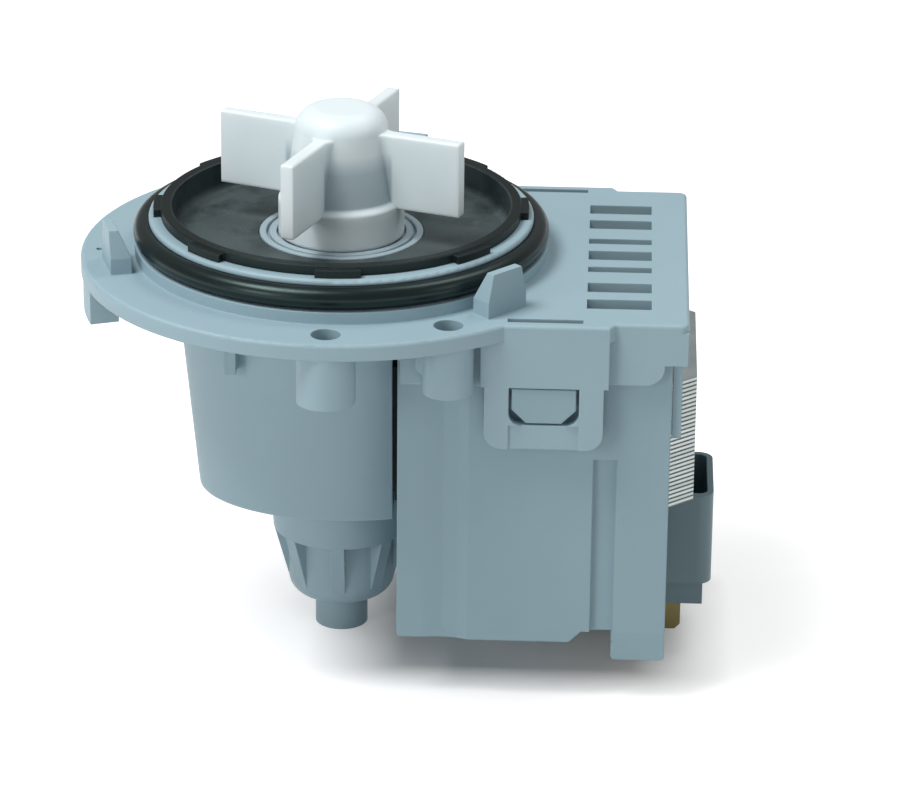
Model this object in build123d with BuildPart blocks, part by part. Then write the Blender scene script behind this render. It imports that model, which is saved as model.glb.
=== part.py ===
from build123d import *
import os
from math import cos, radians, sin

# Drain pump of a washing machine: motor housing, chamber base, magnet rotor and impeller.
# Millimetres.  The origin is on the rotor's axis in the plane of the flange's face, +Z points
# out of the chamber past the impeller, +X points to the stator and -Y to the seen latch.

os.makedirs("parts", exist_ok=True)

# Clearances and cutting allowances
cut_over = 1.0            # how far every cut runs past the face that it opens
running_gap = 0.3         # between parts that turn past each other
slide_gap = 0.15          # between parts pushed together by hand
shaft_play = 0.05         # radial play of the shaft in its bushes

# Flange and chamber base
flange_r = 45.1
flange_t = 2.8
pedestal_inset = 9.3      # from the flange's edge
pedestal_h = 2.1
groove_depth = 3.8        # of the seal groove in the pedestal
lip_overhang = 1.3
lip_t = 0.95
spigot_h = 6.9
spigot_wall = 1.8
web_top = 1.5             # height of the chamber base inside the spigot
web_t = 2.8
lip_round = 0.6

# Screw bosses in the flange, one pair on the Y axis and one pair turned towards the stator
screw_inset = 5.0
screw_hole_r = 2.5
boss_r = 4.95
turned_boss_r = 4.25
boss_depth = 11.85
screw_turn = 30.0

# Centring tabs that stand on the flange, and the bayonet lug under it
tab_angles = (76, 196, 316)
tab_inset = 3.9
tab_foot_t = 3.7
tab_tip_t = 1.6
tab_w = 8.7
tab_tip_w = 6.4
tab_h = 7.6
tab_straight_h = 2.8
lug_angle = 193.5
lug_half_angle = 6.6
lug_depth = 6.4
lug_t = 5.0
lug_inset = 0.3
pin_hole_r = 0.55
pin_hole_inset = 3.2
pin_hole_angle = 184.0
pin_hole_depth = 1.5

# Top plate over the stator
plate_over = 3.3          # past the cover at the latches
plate_step_gap = 0.8      # past the tongue
plate_step_run = 1.0
plate_end_over = 2.6      # past the cover's end
plate_corner_r = 1.5
plate_edge_r = 0.6

# Vent slots over the coils, centred at shares of the plate's half width, and the latch slots
vent_end_gap = 6.3
vent_len = 10.9
vent_wide = 4.3
vent_narrow = 2.5
vent_wide_shares = (0.6545, 0.433, -0.0117, -0.459, -0.684)
vent_narrow_shares = (0.188, -0.21)
latch_slot_w = 1.6
latch_slot_x0 = 29.8
latch_slot_x1 = 42.4
latch_slot_inset = 2.55   # of its middle, from the plate's edge
latch_slot_depth = 8.0

# Skirt that hangs from the plate and takes the cover
skirt_x0 = 11.9
skirt_depth = 11.65
skirt_end_depth = 10.9
skirt_corner_depth = 7.3
skirt_arc_inset = 7.1
skirt_arc_r = 3.2
skirt_t = 1.45
panel_margin = 0.7        # before the tongue
panel_depth = 11.2
finger_depth = 21.4
finger_inset = 1.2        # from the skirt's inside
finger_w = 3.5
finger_t = 1.6

# Latch tongue with its window
tongue_x0 = 26.1
tongue_x1 = 46.1
tongue_strip = 4.35       # below its window
tongue_t = 2.0
tongue_corner_r = 3.0
window_side = 4.1         # from the tongue's sides
window_h = 6.8
window_corner_r = 2.2
strip_sink = 0.35

# Drum round the poles: an oval well that narrows downwards
drum_half_x = 25.1
drum_half_y = 17.6
drum_draft_share = 0.0965
drum_depth = 44.1
drum_wall = 1.8
drum_end_x = 9.9
drum_edge_r = 0.5

# Rotor can, its collar, ribbed cup and the closed nipple below it
can_bore_r = 10.2
can_wall = 1.2
collar_top_r = 12.7
collar_low_r = 12.1
collar_h = 7.9
cup_r = 9.4
cup_floor_t = 3.4
cup_edge_r = 3.2
cup_rib_count = 8
cup_rib_t = 2.5
cup_rib_lift = 3.2        # above the cup's floor
nipple_r = 4.65
nipple_len = 6.25
nipple_wall = 1.75
nipple_end_t = 2.0
bore_below_drum = 7.4
pocket_r = 7.5
pocket_h = 9.9

# Gusset under the flange, and the fins of the turned bosses
gusset_x = -17.9
gusset_over = 1.4         # past the drum's half width, at the drum's bottom
gusset_t = 2.0
gusset_depth = 16.4
boss_fin_w = 2.4
boss_fin_depth = 9.9
boss_fin_t = 2.0

# Shaft and its two bushes
shaft_r = 2.0
shaft_top = 18.9
shaft_end_gap = 2.65
shaft_chamfer = 0.4
bush_r = 4.6
rear_bush_len = 6.5
front_bush_len = 7.0
front_bush_bottom = -8.6
washer_r = 4.2
washer_t = 0.7

# Magnet rotor
magnet_r = 9.6
magnet_bore_r = 5.0
magnet_over = 4.0         # longer than the stack
end_ring_t = 1.5
end_ring_inset = 0.2
rear_float = 0.3
front_float = 0.2

# Bearing cover with its two rings round the hub
cover_r = 14.2
cover_top = 3.5
cover_groove_r = 12.75
cover_groove_w = 0.5
cover_groove_depth = 0.8
cover_inner_drop = 0.8
cover_plug_bottom = -4.5
cover_boss_r = 8.2
cover_neck_r = 8.4
cover_neck_top = 6.4
cover_pocket_r = 6.6
cover_web_t = 1.6
cover_web_bore_r = 3.0
cover_edge_r = 0.2

# Lip seal on the shaft
seal_h = 5.4
seal_wall = 1.3
seal_lip_t = 0.9
seal_lip_z = 3.6

# Black chamber insert
insert_wall = 0.8
insert_floor_top = 3.3
insert_floor_t = 1.5
insert_top = 8.6
insert_rim_over = 1.15
insert_tab_over = 1.25
insert_tab_count = 8
insert_tab_half_angle = 6.8
insert_turn = 2.6
insert_tab_drop = 0.35
insert_edge_r = 0.25
insert_round = 1.6

# Flange seal ring
oring_r = 1.95

# Impeller
hub_skirt_r = 10.9
hub_skirt_bottom = 3.2
hub_skirt_top = 9.7
hub_skirt_bore_r = 9.6
hub_skirt_ceiling = 8.2
hub_foot_r = 9.75
hub_top_r = 8.0
hub_top_z = 22.2          # where the side ends and the rounding starts
hub_top_round = 3.7
hub_shoulder_rise = 0.9
blade_count = 4
blade_angle = -20.4
blade_tip_gap = 6.85      # to the insert's wall
blade_t = 2.6
blade_tip_t = 2.3
blade_bottom = 9.4
blade_top = 22.5
blade_edge_r = 0.35
blade_root_r = 2.2
blade_root_sink = 0.05    # of the roots' circle in the hub's side
hub_edge_r = 0.5

# Drive coupling inside the hub: the dog on the shaft pushes a lug in the hub after some free turn
dog_r = 3.7
dog_play = 0.08
dog_bottom = 7.9
dog_top = 18.3
dog_angle = 90.0
spine_half_angle = 9.0
spine_r = 5.7
damper_r = 6.6
damper_half_angle = 26.0
damper_play = 0.1
damper_slot_half_angle = 10.0
damper_bottom = 9.6
damper_top = 17.0
chamber_r = 7.0
hub_lug_r = 4.1
hub_lug_half_angle = 29.0
hub_lug_bottom = 9.6
chamber_top = 17.4
socket_top = 19.6
hub_cap_r = 7.9
hub_cap_t = 1.0
clip_r = 3.3
clip_t = 0.5

# Stator cover: the box below the plate
box_half_w = 31.0
box_wall = 1.8
box_x0 = 11.4
box_x1 = 57.5
box_below_core = 20.35
box_top_gap = 0.3
box_facet_x1 = 23.5
box_facet_in = 0.6
hollow_x0 = 16.0          # shallow hollow down each side
hollow_mid_x = 19.3
hollow_x1 = 21.8
hollow_depth = 0.4
box_left_x = 14.0
box_floor_gap = 5.2       # before the leg
box_floor_chamfer = 2.05
leg_w = 9.2
leg_h = 3.45
box_corner_r = 0.8
leg_lean = 0.8
rib_slot_gap = 3.7        # from its start to the leg
rib_slot_w = 4.0
rib_slot_top = 25.3
rib_slot_sink = 1.0
catch_gap = 0.5           # to the window's sides
catch_taper = 2.45
catch_straight_h = 4.0
catch_bottom_gap = 0.4
catch_under = 0.35

# Laminated core, a U with its legs along X
stack_top = 16.2
stack_floor_gap = 4.85    # to the drum's bottom
lamination_count = 30
lamination_gap = 0.18
lamination_sink = 0.4
yoke_past_box = 4.5
yoke_w = 12.0
yoke_chamfer_x = 5.2
yoke_chamfer_y = 4.6
core_leg_w = 10.0
core_leg_x0 = 13.2
shoe_x0 = -14.5
shoe_x1 = 15.2
shoe_gap = 2.5
shoe_play = 0.5
air_gap = 0.3
rivet_r = 1.6
rivet_head_r = 2.7
rivet_head_t = 0.8
rivet_inset = 7.0         # from the yoke's end

# Coils
bobbin_x0 = 17.0
bobbin_yoke_gap = 2.0
bobbin_wall = 1.0
bobbin_flange_t = 1.2
coil_half_gap = 1.25      # from the middle to each bobbin
coil_clear = 1.45         # from each bobbin to the cover's wall
tape_t = 0.3
flange_over = 0.4
coil_corner_r = 2.5
fuse_r = 1.5
fuse_len = 10.0
fuse_x = 32.0
lead_r = 0.45

# Terminal carrier and tabs
carrier_over = 3.75       # past the yoke's end
carrier_len = 15.35
carrier_half_w = 9.7
carrier_wall = 1.1
carrier_corner_r = 2.6
carrier_drop = 1.7        # its rim, below the core
carrier_h = 16.95
carrier_floor_t = 5.0
foot_inset_x = 1.45
foot_inset_y = 1.6
foot_h = 4.6
terminal_w = 6.3
terminal_t = 0.8
terminal_inset = 1.4      # from the yoke's end
terminal_len = 6.3
terminal_chamfer = 1.0
terminal_drop = 2.7       # its top, below the core
terminal_arm_h = 2.6
terminal_arm_gap = 0.6    # its end, before the yoke
terminal_half_pitch = 5.0

# Sizes worked out from the ones above
pedestal_r = flange_r - pedestal_inset
groove_r = pedestal_r - groove_depth
lip_r = groove_r + lip_overhang
spigot_bore_r = groove_r - spigot_wall
screw_circle_r = flange_r - screw_inset
tab_outer_r = flange_r - tab_inset
tab_inner_r = tab_outer_r - tab_foot_t
pin_hole_at_r = flange_r - pin_hole_inset
turned_screw_x = screw_circle_r * sin(radians(screw_turn))
turned_screw_y = screw_circle_r * cos(radians(screw_turn))
screw_points = (
    (0, -screw_circle_r),
    (0, screw_circle_r),
    (turned_screw_x, -turned_screw_y),
    (turned_screw_x, turned_screw_y),
)
pin_hole_x = pin_hole_at_r * cos(radians(pin_hole_angle))
pin_hole_y = pin_hole_at_r * sin(radians(pin_hole_angle))
lip_bottom = spigot_h - lip_t
collar_bottom = drum_depth + collar_h
bore_bottom = drum_depth + bore_below_drum
pocket_bottom = bore_bottom + pocket_h
cup_bottom = pocket_bottom + cup_floor_t
cup_rib_bottom = cup_bottom - cup_rib_lift
nipple_bottom = cup_bottom + nipple_len
shaft_bottom = nipple_bottom - nipple_end_t - shaft_end_gap
oring_ring_r = groove_r + oring_r + shaft_play
oring_z = pedestal_h + oring_r
can_r = can_bore_r + can_wall
drum_flare = drum_draft_share * (drum_depth - flange_t)
gusset_reach = drum_half_y + gusset_over
skirt_inner = box_half_w + slide_gap
plate_half_w = box_half_w + plate_over
finger_y = skirt_inner - finger_inset - finger_w / 2
plate_narrow_half_w = skirt_inner + skirt_t
plate_step_x = tongue_x1 + plate_step_gap
plate_end_x = box_x1 + plate_end_over
vent_x1 = plate_end_x - vent_end_gap
vent_x0 = vent_x1 - vent_len
skirt_arc_x0 = plate_end_x - skirt_arc_inset
panel_x0 = tongue_x0 - panel_margin
window_x0 = tongue_x0 + window_side
window_x1 = tongue_x1 - window_side
window_x = (window_x0 + window_x1) / 2
window_top = panel_depth
window_bottom = window_top + window_h
tongue_depth = window_bottom + tongue_strip
catch_x0 = window_x0 + catch_gap
catch_x1 = window_x1 - catch_gap
catch_corner_z = window_top + catch_straight_h
catch_bottom = window_bottom - catch_bottom_gap
box_top = flange_t + box_top_gap
leg_x0 = box_x1 - leg_w
rib_slot_x0 = leg_x0 - rib_slot_gap
box_floor_end = leg_x0 - box_floor_gap
box_left_gap = air_gap + slide_gap
catch_top_gap = box_top_gap
stack_bottom = drum_depth - stack_floor_gap
stack_t = stack_bottom - stack_top
stack_mid = stack_top + stack_t / 2
coil_room = box_half_w - box_wall - coil_clear - coil_half_gap
tube_w = core_leg_w + 2 * (slide_gap + bobbin_wall)
coil_build = (coil_room - tube_w) / 2 - flange_over - tape_t
core_leg_y = coil_half_gap + coil_room / 2
core_leg_inner = core_leg_y - core_leg_w / 2
pole_window_half_w = core_leg_inner + core_leg_w + box_left_gap
box_bottom = stack_bottom + box_below_core
leg_bottom = box_bottom + leg_h
yoke_half_w = core_leg_inner + core_leg_w
yoke_x1 = box_x1 + yoke_past_box
yoke_x0 = yoke_x1 - yoke_w
rivet_x = yoke_x1 - rivet_inset
bobbin_x1 = yoke_x0 - bobbin_yoke_gap
pole_bore_r = can_r + air_gap
inner_flare = drum_draft_share * (drum_depth - stack_bottom)
shoe_half_x = drum_half_x + inner_flare - drum_wall - shoe_play
shoe_half_y = drum_half_y + inner_flare - drum_wall - shoe_play
tube_h = stack_t + 2 * (slide_gap + bobbin_wall)
wire_w = tube_w + 2 * coil_build
wire_h = tube_h + 2 * coil_build
coil_w = wire_w + 2 * tape_t
coil_h = wire_h + 2 * tape_t
rear_bush_top = rear_bush_len - pocket_bottom
front_bush_top = front_bush_bottom + front_bush_len
seal_z = front_bush_top + cover_web_t
sleeve_top = front_bush_bottom - front_float - washer_t
sleeve_bottom = rear_bush_top + rear_float + washer_t
magnet_len = stack_t + magnet_over
magnet_bottom = -stack_mid - magnet_len / 2
magnet_top = magnet_bottom + magnet_len
hub_lug_angle = dog_angle - 180
socket_r = dog_r + dog_play
insert_barrel_r = spigot_bore_r - slide_gap
insert_bore_r = insert_barrel_r - insert_wall
insert_rim_r = insert_barrel_r + insert_rim_over
insert_tab_r = insert_rim_r + insert_tab_over
blade_tip_r = insert_bore_r - blade_tip_gap
carrier_x1 = yoke_x1 + carrier_over
carrier_x0 = carrier_x1 - carrier_len
carrier_top = stack_bottom + carrier_drop
carrier_bottom = carrier_top + carrier_h
carrier_foot_bottom = carrier_bottom + foot_h
terminal_x1 = yoke_x1 - terminal_inset
terminal_x0 = terminal_x1 - terminal_w
terminal_arm_x0 = yoke_x0 - terminal_arm_gap
terminal_top = stack_bottom + terminal_drop
terminal_bottom = carrier_foot_bottom + terminal_len
terminal_ys = (-terminal_half_pitch, terminal_half_pitch)


def radial_plane(angle):
    """Upright plane through the axis: local x runs outwards, local y runs up."""
    turn = radians(angle)
    return Plane(origin=(0, 0, 0), x_dir=(cos(turn), sin(turn), 0), z_dir=(sin(turn), -cos(turn), 0))


def sector(inner, outer, angle, half_angle):
    """Flat ring sector, centred on an angle."""
    reach = 2 * outer
    first = radians(angle - half_angle)
    last = radians(angle + half_angle)
    tips = [(0, 0), (reach * cos(first), reach * sin(first)), (reach * cos(last), reach * sin(last))]
    ring = Circle(outer, mode=Mode.PRIVATE) - Circle(inner, mode=Mode.PRIVATE)
    return ring & Polygon(*tips, align=None, mode=Mode.PRIVATE)


# One flange tab, standing at angle zero, which the housing repeats
with BuildPart() as flange_tab:
    with BuildSketch(Plane.XZ):
        Polygon(
            (tab_inner_r, -flange_t / 2),
            (tab_inner_r, tab_straight_h),
            (tab_outer_r - tab_tip_t, tab_h),
            (tab_outer_r, tab_h),
            (tab_outer_r, -flange_t / 2),
            align=None,
        )
    extrude(amount=tab_w / 2, both=True)
    with BuildSketch(Plane.YZ):
        Polygon(
            (-tab_w / 2, -flange_t),
            (-tab_w / 2, tab_straight_h),
            (-tab_tip_w / 2, tab_h),
            (tab_tip_w / 2, tab_h),
            (tab_w / 2, tab_straight_h),
            (tab_w / 2, -flange_t),
            align=None,
        )
    extrude(amount=2 * tab_outer_r, mode=Mode.INTERSECT)

# The drum's outer and inner ovals as two solid wells
with BuildPart() as drum_outside:
    with BuildSketch(Plane.XY.offset(-drum_depth)):
        Ellipse(drum_half_x, drum_half_y)
    with BuildSketch(Plane.XY.offset(-flange_t)):
        Ellipse(drum_half_x + drum_flare, drum_half_y + drum_flare)
    loft()
    fillet(drum_outside.edges().filter_by(Plane.XY).sort_by(Axis.Z)[0], drum_edge_r)

with BuildPart() as drum_inside:
    with BuildSketch(Plane.XY.offset(drum_wall - drum_depth)):
        Ellipse(drum_half_x - drum_wall, drum_half_y - drum_wall)
    with BuildSketch(Plane.XY.offset(web_top - web_t)):
        Ellipse(drum_half_x + drum_flare - drum_wall, drum_half_y + drum_flare - drum_wall)
    loft()

# Front housing: flange, top plate, chamber base, drum, rotor can and latch skirt in one moulding
with BuildPart() as front_housing:
    with BuildSketch(Plane.XY.offset(-flange_t)):
        Circle(flange_r)
    extrude(amount=flange_t)
    with BuildSketch(Plane.XY.offset(-flange_t)) as plate_outline:
        Polygon(
            (0, -plate_half_w),
            (plate_step_x, -plate_half_w),
            (plate_step_x + plate_step_run, -plate_narrow_half_w),
            (plate_end_x, -plate_narrow_half_w),
            (plate_end_x, plate_narrow_half_w),
            (plate_step_x + plate_step_run, plate_narrow_half_w),
            (plate_step_x, plate_half_w),
            (0, plate_half_w),
            align=None,
        )
        fillet(plate_outline.vertices().group_by(Axis.X)[-1], plate_corner_r)
    extrude(amount=flange_t)
    fillet(front_housing.edges().group_by(Axis.Z)[-1], plate_edge_r)
    # drum under the flange, open towards the stator
    add(drum_outside.part)
    add(drum_inside.part, mode=Mode.SUBTRACT)
    with BuildSketch(Plane.XY.offset(-flange_t)):
        with Locations((drum_end_x + flange_r, 0)):
            Rectangle(2 * flange_r, 2 * flange_r)
    extrude(amount=-(drum_depth + cut_over), mode=Mode.SUBTRACT)
    # skirt and latch panels under the plate
    for side in (-1, 1):
        with BuildSketch(Plane.XZ.offset(-side * skirt_inner)):
            Polygon(
                (skirt_x0, -flange_t / 2),
                (skirt_x0, -skirt_depth),
                (panel_x0, -skirt_depth),
                (panel_x0, -skirt_end_depth),
                (skirt_arc_x0, -skirt_end_depth),
                (skirt_arc_x0 + skirt_arc_r, -skirt_end_depth + skirt_arc_r),
                (skirt_arc_x0 + skirt_arc_r, -skirt_corner_depth),
                (plate_end_x, -skirt_corner_depth),
                (plate_end_x, -flange_t / 2),
                align=None,
            )
            with Locations((skirt_arc_x0, -skirt_end_depth + skirt_arc_r)):
                Circle(skirt_arc_r)
        extrude(amount=-side * (plate_narrow_half_w - skirt_inner))
        with BuildSketch(Plane.XZ.offset(-side * skirt_inner)):
            with Locations(((panel_x0 + plate_step_x) / 2, -(panel_depth + flange_t / 2) / 2)):
                Rectangle(plate_step_x - panel_x0, panel_depth - flange_t / 2)
        extrude(amount=-side * (plate_half_w - skirt_inner))
        with BuildSketch(Plane.XZ.offset(-side * (plate_half_w - tongue_t))) as tongue_outline:
            with Locations(((tongue_x0 + tongue_x1) / 2, -(panel_depth + tongue_depth) / 2)):
                Rectangle(tongue_x1 - tongue_x0, tongue_depth - panel_depth)
            fillet(tongue_outline.vertices().group_by(Axis.Y)[0], tongue_corner_r)
        extrude(amount=-side * tongue_t)
        with BuildSketch(Plane.XZ.offset(-side * (plate_half_w - tongue_t - cut_over))) as window:
            with Locations((window_x, -(window_top + window_bottom) / 2)):
                Rectangle(window_x1 - window_x0, window_bottom - window_top)
            fillet(window.vertices().group_by(Axis.Y)[0], window_corner_r)
        extrude(amount=-side * (tongue_t + 2 * cut_over), mode=Mode.SUBTRACT)
        with BuildSketch(Plane.XZ.offset(-side * (plate_half_w - strip_sink))):
            with Locations((window_x, -(window_bottom + tongue_depth + cut_over) / 2)):
                Rectangle(window_x1 - window_x0, tongue_depth + cut_over - window_bottom)
        extrude(amount=-side * (strip_sink + cut_over), mode=Mode.SUBTRACT)
    with BuildSketch(Plane.XY.offset(-flange_t)):
        with Locations((plate_end_x - skirt_t / 2, 0)):
            Rectangle(skirt_t, 2 * plate_narrow_half_w)
    extrude(amount=-(skirt_corner_depth - flange_t))
    # screw bosses, each turned one with a fin on the side away from the latch
    with BuildSketch(Plane.XY.offset(-flange_t / 2)):
        with Locations((0, -screw_circle_r), (0, screw_circle_r)):
            Circle(boss_r)
        with Locations((turned_screw_x, -turned_screw_y), (turned_screw_x, turned_screw_y)):
            Circle(turned_boss_r)
    extrude(amount=-(boss_depth - flange_t / 2))
    for side in (-1, 1):
        with BuildSketch(Plane.XZ.offset(-side * (turned_screw_y - boss_fin_t / 2))):
            Polygon(
                (turned_screw_x, -flange_t / 2),
                (turned_screw_x - turned_boss_r - boss_fin_w / 2, -flange_t / 2),
                (turned_screw_x - turned_boss_r - boss_fin_w / 2, -boss_fin_depth + boss_fin_w),
                (turned_screw_x - turned_boss_r + boss_fin_w / 2, -boss_fin_depth),
                (turned_screw_x, -boss_fin_depth),
                align=None,
            )
        extrude(amount=-side * boss_fin_t)
    # room for the cover inside the skirt, which also trims the bosses
    with BuildSketch(Plane.XY.offset(-flange_t)):
        with Locations(((box_x0 - slide_gap + plate_end_x - skirt_t) / 2, 0)):
            Rectangle(plate_end_x - skirt_t - box_x0 + slide_gap, 2 * skirt_inner)
    extrude(amount=-(boss_depth + cut_over), mode=Mode.SUBTRACT)
    # fingers that hook round the cover's far corners
    with BuildSketch(Plane.XY.offset(-flange_t / 2)):
        for side in (-1, 1):
            with Locations((box_x1 + slide_gap + finger_t / 2, side * finger_y)):
                Rectangle(finger_t, finger_w)
    extrude(amount=-(finger_depth - flange_t / 2))
    # gusset between the drum and the flange
    with BuildSketch(Plane.YZ.offset(gusset_x - gusset_t / 2)):
        with Locations((-gusset_reach / 2, -(gusset_depth + flange_t / 2) / 2)):
            Rectangle(gusset_reach, gusset_depth - flange_t / 2)
    extrude(amount=gusset_t)
    add(drum_inside.part, mode=Mode.SUBTRACT)
    # rotor can, collar, cup with ribs, and the nipple
    with BuildSketch(Plane.XZ):
        Polygon(
            (0, web_top - web_t / 2),
            (can_r, web_top - web_t / 2),
            (can_r, -drum_depth),
            (collar_top_r, -drum_depth),
            (collar_low_r, -collar_bottom),
            (cup_r, -collar_bottom),
            (cup_r, -cup_bottom),
            (0, -cup_bottom),
            align=None,
        )
    revolve(axis=Axis.Z)
    cup_floor = front_housing.faces().filter_by(Plane.XY).sort_by(Axis.Z)[0]
    fillet(cup_floor.edges(), cup_edge_r)
    for rib in range(cup_rib_count):
        with BuildSketch(radial_plane(-90 + rib * 360 / cup_rib_count)):
            Polygon(
                (cup_r - cup_rib_t / 2, -collar_bottom),
                (collar_low_r, -collar_bottom),
                (cup_r, -cup_rib_bottom),
                (cup_r - cup_rib_t / 2, -cup_rib_bottom),
                align=None,
            )
        extrude(amount=cup_rib_t / 2, both=True)
    with BuildSketch(Plane.XY.offset(-cup_bottom + cup_edge_r)):
        Circle(nipple_r)
    extrude(amount=-(nipple_bottom - cup_bottom + cup_edge_r))
    # pedestal, seal groove and lip round the chamber
    with BuildSketch(Plane.XZ):
        Polygon(
            (0, -flange_t / 2),
            (pedestal_r, -flange_t / 2),
            (pedestal_r, pedestal_h),
            (groove_r, pedestal_h),
            (groove_r, lip_bottom),
            (lip_r, lip_bottom),
            (lip_r, spigot_h),
            (0, spigot_h),
            align=None,
        )
    revolve(axis=Axis.Z)
    lip_edge = front_housing.edges().filter_by(GeomType.CIRCLE).filter_by(Plane.XY).group_by(Axis.Z)[-1]
    fillet(lip_edge, lip_round)
    with BuildSketch(Plane.XY.offset(web_top)):
        Circle(spigot_bore_r)
    extrude(amount=spigot_h - web_top + cut_over, mode=Mode.SUBTRACT)
    # bore of the can, the rear bush pocket and the end of the shaft's hole
    with BuildSketch(Plane.XY.offset(-bore_bottom)):
        Circle(can_bore_r)
    extrude(amount=bore_bottom + web_top + cut_over, mode=Mode.SUBTRACT)
    with BuildSketch(Plane.XY.offset(-pocket_bottom)):
        Circle(pocket_r)
    extrude(amount=pocket_bottom - bore_bottom + cut_over, mode=Mode.SUBTRACT)
    with BuildSketch(Plane.XY.offset(-nipple_bottom + nipple_end_t)):
        Circle(nipple_r - nipple_wall)
    extrude(amount=nipple_bottom - nipple_end_t - pocket_bottom + cut_over, mode=Mode.SUBTRACT)
    # tabs on the flange, the lug below it and the pin hole
    for angle in tab_angles:
        add(flange_tab.part, rotation=(0, 0, angle))
    with BuildSketch(Plane.XY.offset(-flange_t / 2)):
        add(sector(flange_r - lug_inset - lug_t, flange_r - lug_inset, lug_angle, lug_half_angle))
    extrude(amount=-(lug_depth + flange_t / 2))
    with BuildSketch(Plane.XY):
        with Locations((pin_hole_x, pin_hole_y)):
            Circle(pin_hole_r)
    extrude(amount=-pin_hole_depth, mode=Mode.SUBTRACT)
    # screw holes, vents and the slots over the latches
    with BuildSketch(Plane.XY.offset(cut_over)):
        with Locations(*screw_points):
            Circle(screw_hole_r)
    extrude(amount=-(boss_depth + 2 * cut_over), mode=Mode.SUBTRACT)
    with BuildSketch(Plane.XY.offset(cut_over)):
        for share in vent_wide_shares:
            with Locations(((vent_x0 + vent_x1) / 2, share * plate_half_w)):
                Rectangle(vent_x1 - vent_x0, vent_wide)
        for share in vent_narrow_shares:
            with Locations(((vent_x0 + vent_x1) / 2, share * plate_half_w)):
                Rectangle(vent_x1 - vent_x0, vent_narrow)
    extrude(amount=-(flange_t + 2 * cut_over), mode=Mode.SUBTRACT)
    with BuildSketch(Plane.XY):
        for side in (-1, 1):
            with Locations(((latch_slot_x0 + latch_slot_x1) / 2, side * (plate_half_w - latch_slot_inset))):
                Rectangle(latch_slot_x1 - latch_slot_x0, latch_slot_w)
    extrude(amount=-latch_slot_depth, mode=Mode.SUBTRACT)
front_housing.part.label = "front_housing"
export_step(front_housing.part, "parts/front_housing.step")

# Stator cover: the box that hides the coils, open on the yoke's side, with two legs
with BuildPart() as stator_cover:
    for side in (-1, 1):
        with BuildSketch(Plane.XZ.offset(-side * (box_half_w - box_wall))) as box_side:
            Polygon(
                (box_x0, -box_bottom),
                (box_floor_end - box_floor_chamfer, -box_bottom),
                (box_floor_end, -box_bottom + box_floor_chamfer),
                (leg_x0, -box_bottom + box_floor_chamfer),
                (leg_x0, -leg_bottom),
                (box_x1, -leg_bottom),
                (box_x1, -box_top),
                (box_x0, -box_top),
                align=None,
            )
            feet = box_side.vertices().group_by(Axis.Y)[0]
            floor_corners = box_side.vertices().group_by(Axis.Y)[1]
            fillet(feet + floor_corners, box_corner_r)
        extrude(amount=-side * box_wall)
        # the sides step back towards the drum, with a shallow hollow before the step
        with BuildSketch(Plane.XY.offset(-box_bottom)):
            Polygon(
                (box_x0, side * (box_half_w - box_facet_in)),
                (box_x0, side * (box_half_w + cut_over)),
                (box_facet_x1, side * (box_half_w + cut_over)),
                (box_facet_x1, side * box_half_w),
                (hollow_x1, side * (box_half_w - box_facet_in)),
                (hollow_mid_x, side * (box_half_w - box_facet_in - hollow_depth)),
                (hollow_x0, side * (box_half_w - box_facet_in)),
                align=None,
            )
        extrude(amount=box_bottom - box_top, mode=Mode.SUBTRACT)
        # groove beside the leg
        with BuildSketch(Plane.XZ.offset(-side * (box_half_w - rib_slot_sink))):
            with Locations((rib_slot_x0 + rib_slot_w / 2, -(rib_slot_top + box_bottom) / 2)):
                Rectangle(rib_slot_w, box_bottom - rib_slot_top)
        extrude(amount=-side * (rib_slot_sink + cut_over), mode=Mode.SUBTRACT)
        # the leg's foot leans inwards
        with BuildSketch(Plane.YZ.offset(leg_x0)):
            Polygon(
                (side * (box_half_w - leg_lean), -leg_bottom - cut_over),
                (side * (box_half_w - leg_lean), -leg_bottom),
                (side * box_half_w, -box_bottom + box_floor_chamfer),
                (side * (box_half_w + cut_over), -box_bottom + box_floor_chamfer),
                (side * (box_half_w + cut_over), -leg_bottom - cut_over),
                align=None,
            )
        extrude(amount=box_x1 - leg_x0, mode=Mode.SUBTRACT)
        # catch that snaps into the tongue's window
        with BuildSketch(Plane.XZ.offset(-side * (box_half_w - box_wall / 2))):
            Polygon(
                (catch_x0, -window_top - catch_top_gap),
                (catch_x0, -catch_corner_z),
                (catch_x0 + catch_taper, -catch_bottom),
                (catch_x1 - catch_taper, -catch_bottom),
                (catch_x1, -catch_corner_z),
                (catch_x1, -window_top - catch_top_gap),
                align=None,
            )
        extrude(amount=-side * (plate_half_w - catch_under - box_half_w + box_wall / 2))
    with BuildSketch(Plane.XY.offset(-box_bottom)):
        with Locations(((box_left_x + box_floor_end - box_floor_chamfer) / 2, 0)):
            Rectangle(box_floor_end - box_floor_chamfer - box_left_x, 2 * (box_half_w - box_wall / 2))
    extrude(amount=box_wall)
    with BuildSketch(Plane.YZ.offset(box_left_x)):
        with Locations((0, -(box_bottom + box_top) / 2)):
            Rectangle(2 * (box_half_w - box_wall / 2), box_bottom - box_top)
        with Locations((0, -(stack_bottom + box_left_gap) / 2)):
            Rectangle(2 * pole_window_half_w, stack_bottom + box_left_gap, mode=Mode.SUBTRACT)
    extrude(amount=box_wall)
stator_cover.part.label = "stator_cover"
export_step(stator_cover.part, "parts/stator_cover.step")

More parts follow.
